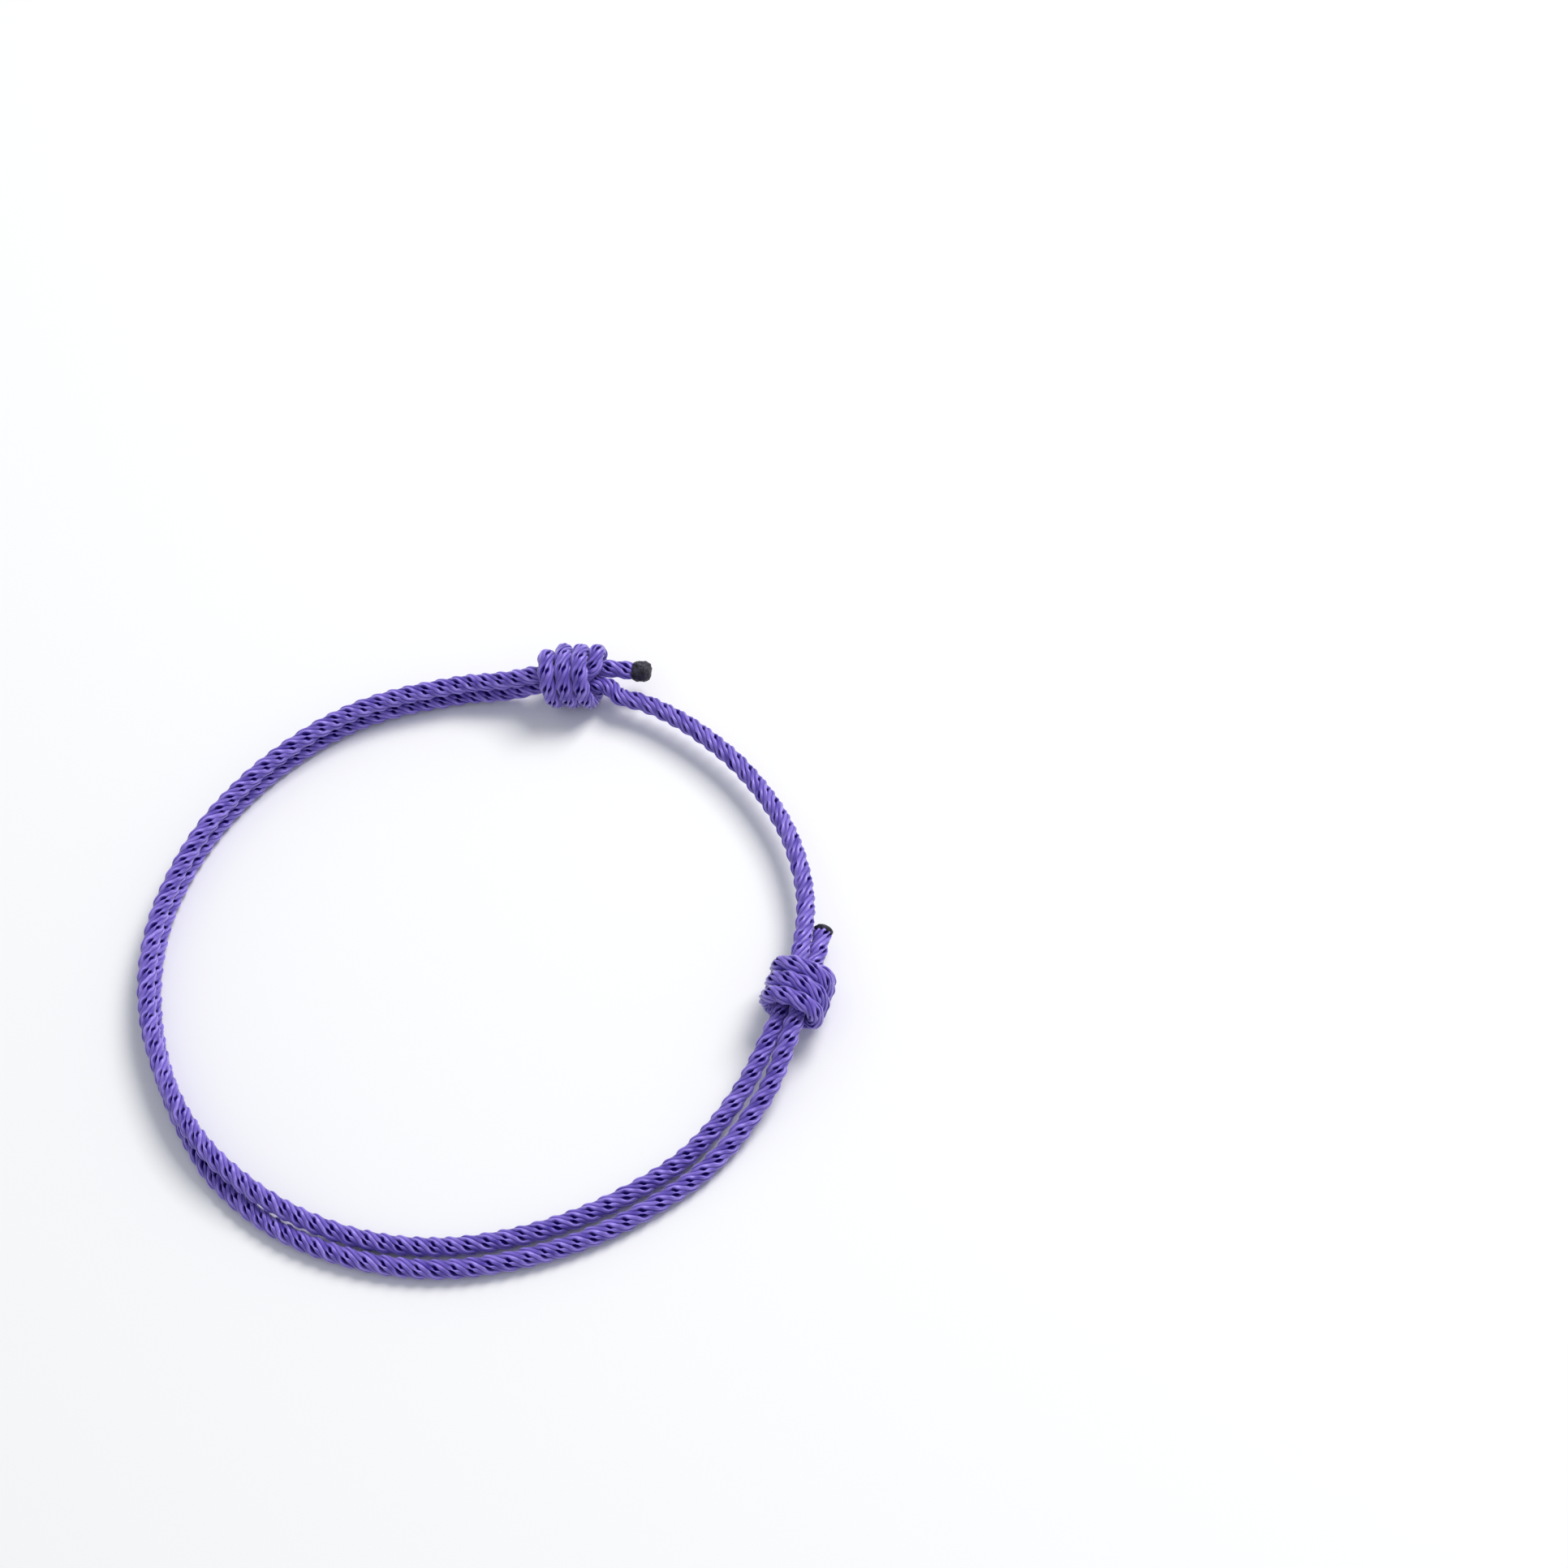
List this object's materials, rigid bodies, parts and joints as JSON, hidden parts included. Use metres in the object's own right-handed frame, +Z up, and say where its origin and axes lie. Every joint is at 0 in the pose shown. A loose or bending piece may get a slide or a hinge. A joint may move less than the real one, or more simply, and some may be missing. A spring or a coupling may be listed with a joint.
{
  "type": "rope bracelet",
  "caption": "Adjustable wrist ring of round braided cord, closed by wound sliding knots with short heat-sealed ends.",
  "frame": {"origin": "middle of the bracelet's outline, on the surface that it lies on", "axes": "+Z up along the ring's axis; the side nearest the camera of the picture faces -Y, +X to its right"},
  "size_m": [0.0729, 0.0721, 0.0073],
  "materials": {
    "braided_cord": "satin",
    "sealed_cord": "rough"
  },
  "bodies": {
    "root": {"upper_run": "braided_cord", "lower_run": "braided_cord", "single_run": "braided_cord", "rear_knot": "braided_cord", "front_knot": "braided_cord", "rear_tail": "braided_cord", "front_tail": "braided_cord", "rear_tip": "sealed_cord", "front_tip": "sealed_cord"}
  },
  "joints": []
}
